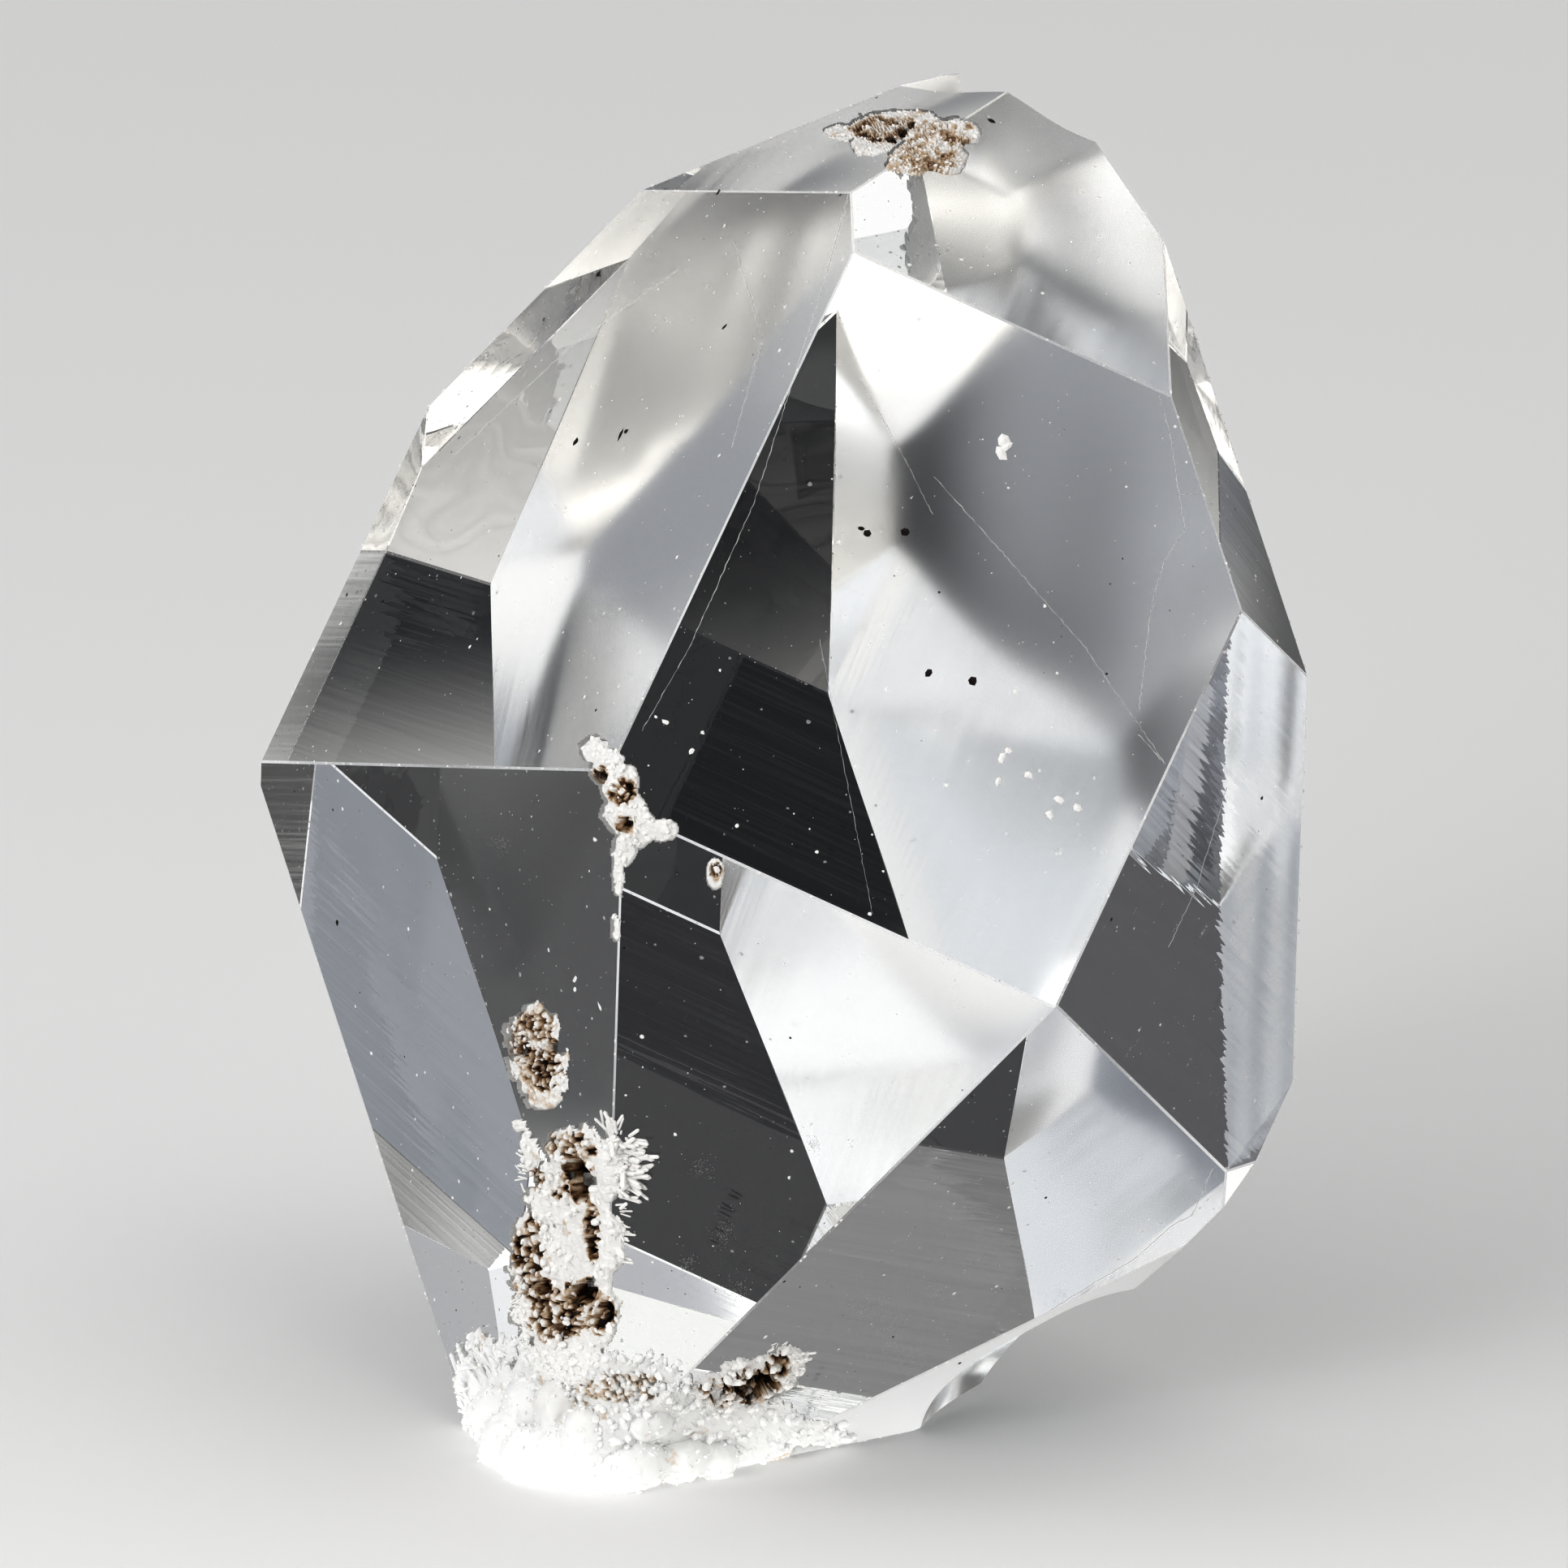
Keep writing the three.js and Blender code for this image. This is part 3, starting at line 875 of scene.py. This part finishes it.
def add_fleck(shape, layer, place, normal, size, darkening, rng, thick=0.3, long=1.0):
    """A small flat irregular fleck that lies on a face."""
    spin = Quaternion((0, 0, 1), rng.uniform(0, math.pi))
    turn = Vector((0, 0, 1)).rotation_difference(normal) @ spin
    rim = []
    for k in range(6):
        angle, reach = math.radians(60 * k), size * rng.uniform(0.65, 1.3)
        rim.append(Vector((reach * long * math.cos(angle), reach / long * math.sin(angle), 0)))
    tops = [Vector((0, 0, z * size * thick)) for z in (1, -1)]
    around = [shape.verts.new(place + turn @ p) for p in rim]
    top, bottom = [shape.verts.new(place + turn @ p) for p in tops]
    for v in around + [top, bottom]:
        v[layer] = darkening
    for k in range(6):
        n = (k + 1) % 6
        shape.faces.new((around[k], around[n], top))
        shape.faces.new((around[n], around[k], bottom))


def kept(place):
    """Whether a spot of the growth faces is still there, outside the breaks."""
    beyond_break = leaning(*TIP_BREAK[:2]).dot(place) > TIP_BREAK[2] - 0.15
    beyond_ledge = leaning(*TIP_LEDGE[:2]).dot(place) > TIP_LEDGE[2] - 0.1
    return not (beyond_break and beyond_ledge) and (place - CHIP_CENTRE).length > CHIP_RADIUS + 0.1


def add_thread(shape, layer, line, width, darkening, rng, step=5.0):
    """A thin raised line along places of the front view, broken up a little."""
    spots = []
    for (x0, y0), (x1, y1) in zip(line, line[1:]):
        count = max(1, round(math.hypot(x1 - x0, y1 - y0) / step))
        for k in range(count):
            t = k / count
            spots.append(front_spot(
                x0 + t * (x1 - x0) + rng.uniform(-0.7, 0.7),
                y0 + t * (y1 - y0) + rng.uniform(-0.7, 0.7),
            ))
    rings = []
    for index, (place, normal) in enumerate(spots):
        ahead = spots[min(index + 1, len(spots) - 1)][0] - spots[max(index - 1, 0)][0]
        side = ahead.cross(normal).normalized() * width * rng.uniform(0.3, 1.2)
        lift = normal * 0.006
        low = place - lift
        ring = [shape.verts.new(p) for p in (low - side, low + side, place + lift)]
        for v in ring:
            v[layer] = darkening
        rings.append(ring)
    for a, b in zip(rings, rings[1:]):
        for k in range(3):
            shape.faces.new((a[k], a[(k + 1) % 3], b[(k + 1) % 3], b[k]))
    for cap in (rings[0], rings[-1]):
        shape.faces.new(cap)


WHITE_SHARE, DUST_COUNT, CLOUD_FLECKS = 0.93, 2600, 70


def scattered_dust(shape, layer, rng, count):
    """Dust all over the crystal's faces, mostly white."""
    outlines = [(FACES[name][0], face_polygon(name)) for name in FACES if name != "base"]
    triangles = []
    for normal, polygon in outlines:
        first = polygon[0] if polygon else None
        for a, b in zip(polygon[1:], polygon[2:]):
            triangles.append(((b - first).cross(a - first).length, normal, first, a, b))
    weights = [t[0] for t in triangles]
    for _, normal, a, b, c in rng.choices(triangles, weights, k=count):
        s, t = sorted((rng.random(), rng.random()))
        place = a * s + b * (t - s) + c * (1 - t)
        size = 0.008 + 0.03 * rng.random() ** 5
        darkening = 0.0 if rng.random() < WHITE_SHARE else 0.9
        if kept(place):
            add_fleck(shape, layer, place, normal, size, darkening, rng)


# Places of the front view, with sizes in its pixels; a scratch has a width in millimetres.
DARK_SPECKS = (
    (710, 545, 6), (765, 537, 6), (1068, 660, 5), (1115, 657, 6), (1143, 830, 5), (1197, 840, 5),
    (893, 405, 4), (885, 238, 4), (1221, 151, 5), (415, 1137, 4), (1060, 653, 4), (772, 533, 4),
)
PALE_SPECKS = (
    (1235, 545, 10), (1232, 560, 8), (1240, 552, 7), (1232, 935, 6), (1228, 962, 5), (1325, 995, 6),
    (710, 1205, 5), (710, 1218, 4), (740, 1238, 4), (822, 890, 4), (853, 925, 4), (735, 1034, 4),
    (884, 1070, 5), (1302, 985, 6), (1290, 1003, 5), (1265, 955, 5), (1240, 925, 4), (700, 1292, 4),
)
SCRATCHES_AND_PAINTED_HIGHLIGHT = (
    (
        (
            (1426, 491), (1439, 539), (1450, 612), (1457, 653), (1431, 695), (1421, 727),
            (1413, 768), (1400, 880),
        ),
        0.009,
    ),
    (((1450, 612), (1479, 610)), 0.008),
    (((1400, 905), (1435, 945)), 0.008),
    (((1508, 971), (1472, 1091), (1435, 1170)), 0.006),
    (
        ((1493, 1438), (1484, 1458), (1467, 1497), (1442, 1509), (1400, 1548), (1290, 1615)),
        0.012,
    ),
    (((1150, 590), (1240, 690), (1335, 800), (1435, 945)), 0.006),
    (((1060, 470), (1110, 560), (1150, 640)), 0.005),
    (((1010, 790), (1075, 1130)), 0.004),
    (((560, 560), (700, 430), (840, 330)), 0.004),
    (((905, 300), (940, 420), (900, 560)), 0.004),
    # A painted highlight, not a scratch: a white thread along the edge between two front faces,
    # where that edge catches the light.
    (((1046, 240), (1016, 350), (930, 620), (850, 800), (790, 905)), 0.007),
)
CLOUDS = (
    (862, 1440, 14), (890, 1520, 16), (845, 1560, 12), (905, 1590, 18), (1070, 1620, 24),
    (1105, 1650, 26), (1125, 1680, 18), (1000, 1410, 9), (1155, 1595, 14), (1310, 1600, 14),
    (612, 1040, 12),
)


def marks_mesh():
    """Dust, specks, scratches, one painted highlight and small clouds of flaws, as one mesh."""
    rng = random.Random(77)
    shape = bmesh.new()
    layer = shape.verts.layers.float.new("darkening")
    scattered_dust(shape, layer, rng, DUST_COUNT)
    for specks, darkening in ((DARK_SPECKS, 1.0), (PALE_SPECKS, 0.0)):
        for x, y, size in specks:
            place, normal = front_spot(x, y)
            long = rng.uniform(1.0, 1.4)
            add_fleck(shape, layer, place, normal, size * PIXEL, darkening, rng, long=long)
    for line, width in SCRATCHES_AND_PAINTED_HIGHLIGHT:
        add_thread(shape, layer, line, width, 0.0, rng)
    for x, y, size in CLOUDS:
        for _ in range(CLOUD_FLECKS):
            place, normal = front_spot(x + rng.gauss(0, 0.5) * size, y + rng.gauss(0, 0.5) * size)
            inside = place - normal * rng.uniform(0.05, 0.4)
            add_fleck(shape, layer, inside, normal, 0.006, 0.0, rng, thick=1.0)
    bmesh.ops.recalc_face_normals(shape, faces=shape.faces)
    return as_mesh("dust_scratches_and_painted_highlight", shape)


def edge_chips(shape, layer, rng):
    """Small white chips along the crystal's edges."""
    seen = set()
    for name in FACES:
        polygon = face_polygon(name)
        for a, b in zip(polygon, polygon[1:] + polygon[:1]):
            key = tuple(round(c, 1) for c in (a + b) / 2)
            if key in seen or name == "base":
                continue
            seen.add(key)
            for _ in range(int((b - a).length * 5)):
                place = a.lerp(b, rng.random())
                size = 0.012 + 0.035 * rng.random() ** 3
                if kept(place):
                    add_grain(shape, layer, place, (b - a).normalized(), size, 0.05, rng)


chips = bmesh.new()
edge_chips(chips, chips.verts.layers.float.new("darkening"), random.Random(12))
bmesh.ops.recalc_face_normals(chips, faces=chips.faces)
crust_meshes["edge_chips"] = as_mesh("edge_chips", chips)
crust_meshes["dust_scratches_and_painted_highlight"] = marks_mesh()

for crust_name, mesh in crust_meshes.items():
    shape = bmesh.new()
    shape.from_mesh(mesh)
    cut_level(shape)
    shape.to_mesh(mesh)
    shape.free()
    to_place(mesh)
    for v in mesh.vertices:
        v.co = [max(low, min(high, c)) for c, low, high in zip(v.co, *CAD_BOX)]
    material = milky_crust if crust_name.startswith("foot") else crust_material
    piece = mesh_object(crust_name, mesh, [material])
    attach(piece, "root")
    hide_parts("crystal")

quartz_materials = [
    quartz("clear_quartz"),
    quartz("wavy_quartz", roughness=0.12),
    milky_quartz(),
    worn_quartz(),
    quartz("shell_break", roughness=0.15),
    quartz("striated_quartz", lined=True),
]
body_mesh = crystal_mesh(quartz_materials, crust_cutters)
to_place(body_mesh)
crystal = mesh_object("crystal_quartz", body_mesh, quartz_materials)
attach(crystal, "root")
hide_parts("crystal")

# ---- Floor, light and camera --------------------------------------------------------------------


def pale_floor():
    """A plain matt floor."""
    material, tree, out = new_material("pale_floor")
    body = node(
        tree, "ShaderNodeBsdfPrincipled", Base_Color=(0.75, 0.75, 0.75), Roughness=0.8,
        Specular_IOR_Level=0.15,
    )
    feed(tree, out.inputs["Surface"], body.outputs["BSDF"])
    return material


def staged(name, corners, faces, material):
    """A stage surface, from points in millimetres."""
    mesh = bpy.data.meshes.new(name)
    mesh.from_pydata([Vector(c) * MM for c in corners], [], faces)
    piece = mesh_object(name, mesh, [material])
    return piece


FLOOR = 1500.0
corners = [(-FLOOR, -FLOOR, 0), (FLOOR, -FLOOR, 0), (FLOOR, FLOOR, 0), (-FLOOR, FLOOR, 0)]
floor = staged("floor", corners, [(0, 1, 2, 3)], pale_floor())
for ray in ("visible_transmission", "visible_diffuse"):
    setattr(floor, ray, False)


def ranged(tree, source, low, high):
    """Rises smoothly from 0 at low to 1 at high."""
    made = node(tree, "ShaderNodeMapRange", source, low, high, interpolation_type="SMOOTHSTEP")
    return made.outputs["Result"]


def blended(tree, share, first, second, **values):
    """A mix of two colours, each a plain one or another node's."""
    made = node(tree, "ShaderNodeMix", share, data_type="RGBA", **values)
    feed(tree, made.inputs[6], first)
    feed(tree, made.inputs[7], second)
    return made.outputs[2]


# The floor as refracted rays see it: a glowing card with painted light and painted shade. Patches
# are
# ellipses in millimetres: centre, radii, how far out the rim starts and ends, and the colour
# inside.
# The three grey patches are painted shadows, the crystal's own shadow to its left among them, and
# the bright one under the crystal is a painted pool of light. Distances are in metres.
FLOOR_PAINTED_LIGHT_NEAR, FLOOR_PAINTED_LIGHT_FAR = (0.92, 0.91, 0.88), (0.8, 0.8, 0.81)
FLOOR_SHADE = (0.016, 0.017, 0.02)
PAINTED_FLOOR_PATCHES = (
    ((-13.5, 8), (7, 8), 0.8, 1.2, (0.4, 0.41, 0.43)),
    ((-32, 21.5), (12, 8), 0.8, 1.2, (0.42, 0.44, 0.5)),
    ((15, -20), (8, 8), 0.7, 1.3, (0.5, 0.5, 0.52)),
    ((-1.1, -2.1), (5, 5), 1.0, 1.5, (1.7, 1.69, 1.66)),
)
# The card's painted shade: a dark band behind the crystal, by heading, sides and distance.
SHADE_HEADING, SHADE_SIDES = math.radians(2), (math.radians(52), math.radians(40))
SHADE_START, SHADE_END = (0.008, 0.022), (0.056, 0.042)


def painted_floor_light():
    """The floor as it shows through the crystal: a glowing card, with painted light near it and
    painted shade further back.
    """
    material, tree, out = new_material("floor_painted_light_and_shade")
    place = node(tree, "ShaderNodeTexCoord").outputs["Object"]
    away = vector_sum(tree, "LENGTH", place)
    split = node(tree, "ShaderNodeSeparateXYZ", place)
    turn = reckon(tree, "ARCTAN2", split.outputs["X"], split.outputs["Y"])
    aside = reckon(tree, "ABSOLUTE", reckon(tree, "ADD", turn, SHADE_HEADING))
    behind = ranged(tree, aside, *SHADE_SIDES)
    shade = reckon(tree, "MULTIPLY", behind, ranged(tree, away, *SHADE_START))
    shade = reckon(tree, "MULTIPLY", shade, ranged(tree, away, *SHADE_END))
    lit = blended(tree, ranged(tree, away, 0.01, 0.06), FLOOR_PAINTED_LIGHT_NEAR, FLOOR_PAINTED_LIGHT_FAR)
    for centre, radii, low, high, colour in PAINTED_FLOOR_PATCHES:
        moved = vector_sum(tree, "SUBTRACT", place, (*[c * MM for c in centre], 0))
        scaled = vector_sum(tree, "DIVIDE", moved, (*[r * MM for r in radii], 1))
        outside = ranged(tree, vector_sum(tree, "LENGTH", scaled), low, high)
        lit = blended(tree, outside, colour, lit)
    glow = node(tree, "ShaderNodeEmission", blended(tree, shade, lit, FLOOR_SHADE), 1.0)
    feed(tree, out.inputs["Surface"], glow.outputs["Emission"])
    return material


corners = [(x, y, -0.02) for x, y, _ in corners]
# A glowing card just under the floor that only refracted and scattered rays see; it carries the
# painted light and painted shade.
card = staged("floor_card_with_painted_light", corners, [(0, 1, 2, 3)], painted_floor_light())
for ray in ("visible_camera", "visible_shadow", "visible_glossy"):
    setattr(card, ray, False)


# The dome: each part is centred on an azimuth and elevation, and each of its stops is an angle
# from there and a grey or a colour.
SURROUNDINGS = (-5, -4, (
    (0, (0.012, 0.012, 0.015)),
    (19, (0.02, 0.02, 0.024)),
    (31, (0.12, 0.12, 0.13)),
    (44, (0.22, 0.23, 0.26)),
    (54, (0.34, 0.37, 0.41)),
    (59, (0.42, 0.44, 0.48)),
    (62, (0.8, 0.81, 0.84)),
    (67, (0.92, 0.93, 0.95)),
    (110, 1.0),
    (128, 0.78),
    (150, 0.68),
    (180, 0.62),
))
OVERHEAD = (175, 72, ((16, 1.0), (37, 0.55), (58, 0.27), (76, 0.17), (96, 0.0)))
ABOUT_THE_LENS = (-172, 28, ((11, 0.06), (18, 0.26), (21, 0.55), (30, 1.0)))
WINDOW = (142, 18, ((12, 0.7), (32, 0.0)))
OVERHEAD_WHITE, WINDOW_WHITE, BACKDROP = (1.08, 1.07, 1.05), (1.1, 1.09, 1.07), (0.66, 0.66, 0.66)


def studio_light():
    """A soft white dome that is dark low down behind the crystal and about the camera."""
    dome = bpy.data.worlds.new("studio")
    bpy.context.scene.world = dome
    dome.cycles.sampling_method = "NONE"
    dome.use_nodes = True
    tree = dome.node_tree
    ray = node(tree, "ShaderNodeTexCoord").outputs["Generated"]

    def around(azimuth, elevation, stops, source=ray, squash=1.0):
        """Colours by the angle between a ray, its height squashed, and a direction."""
        azimuth, elevation = math.radians(azimuth), math.radians(elevation)
        flat = math.cos(elevation)
        centre = (flat * math.sin(azimuth), flat * math.cos(azimuth), math.sin(elevation))
        squashed = vector_sum(tree, "MULTIPLY", source, (1, 1, squash))
        unit = vector_sum(tree, "NORMALIZE", squashed)
        angle = reckon(tree, "ARCCOSINE", vector_sum(tree, "DOT_PRODUCT", unit, centre))
        share = reckon(tree, "DIVIDE", angle, math.pi)
        return ramp(tree, share, [(degrees / 180, colour) for degrees, colour in stops])

    split = node(tree, "ShaderNodeSeparateXYZ", ray).outputs
    narrowing = reckon(tree, "MULTIPLY_ADD", split["Z"], -0.9, 1.0)
    across = reckon(tree, "MULTIPLY", split["X"], narrowing)
    narrowed = node(tree, "ShaderNodeCombineXYZ", across, split["Y"], split["Z"]).outputs["Vector"]
    light = around(*SURROUNDINGS, source=narrowed, squash=0.5)
    light = blended(tree, around(*OVERHEAD), light, OVERHEAD_WHITE)
    light = blended(tree, 1.0, light, around(*ABOUT_THE_LENS), blend_type="MULTIPLY")
    light = blended(tree, around(*WINDOW), light, WINDOW_WHITE)
    path = node(tree, "ShaderNodeLightPath")
    seen = blended(tree, path.outputs["Is Camera Ray"], light, BACKDROP)
    feed(tree, tree.nodes["Background"].inputs["Color"], seen)


studio_light()


def soft_box(name, place, size, power):
    """A square soft light that shines at the crystal."""
    light = bpy.data.lights.new(name, "AREA")
    light.shape = "RECTANGLE"
    light.size, light.size_y = size[0] * MM, size[1] * MM
    light.energy = power
    box = bpy.data.objects.new(name, light)
    bpy.context.scene.collection.objects.link(box)
    box.location = Vector(place) * MM
    box.rotation_euler = (HEART * MM - box.location).to_track_quat("-Z", "Y").to_euler()
    box.visible_camera = False
    return box


soft_box("top_box", (-10, -20, 130), (120, 120), 0.01)
key = soft_box("front_box", (-90, -120, 60), (90, 90), 0.14)
for ray in ("visible_glossy", "visible_transmission"):
    setattr(key, ray, False)

camera_data = bpy.data.cameras.new("camera")
camera = bpy.data.objects.new("camera", camera_data)
bpy.context.scene.collection.objects.link(camera)
camera.location = (HEART + TOWARD * CAMERA_AWAY) * MM
camera.rotation_euler = (math.pi / 2 - LOOK_DOWN, 0, 0)
camera_data.sensor_width = SENSOR_WIDTH
camera_data.lens = SENSOR_WIDTH * CAMERA_AWAY / FRAME_WIDTH
camera_data.clip_start, camera_data.clip_end = 0.01, 20.0
bpy.context.scene.camera = camera

view = bpy.context.scene.view_settings
view.view_transform = "Standard"
view.gamma = 0.7
view.exposure = 0.2
# Light bounces many times between the crystal's faces before it leaves.
cycles = bpy.context.scene.cycles
cycles.max_bounces = 24
cycles.transmission_bounces = 24
cycles.glossy_bounces = 16
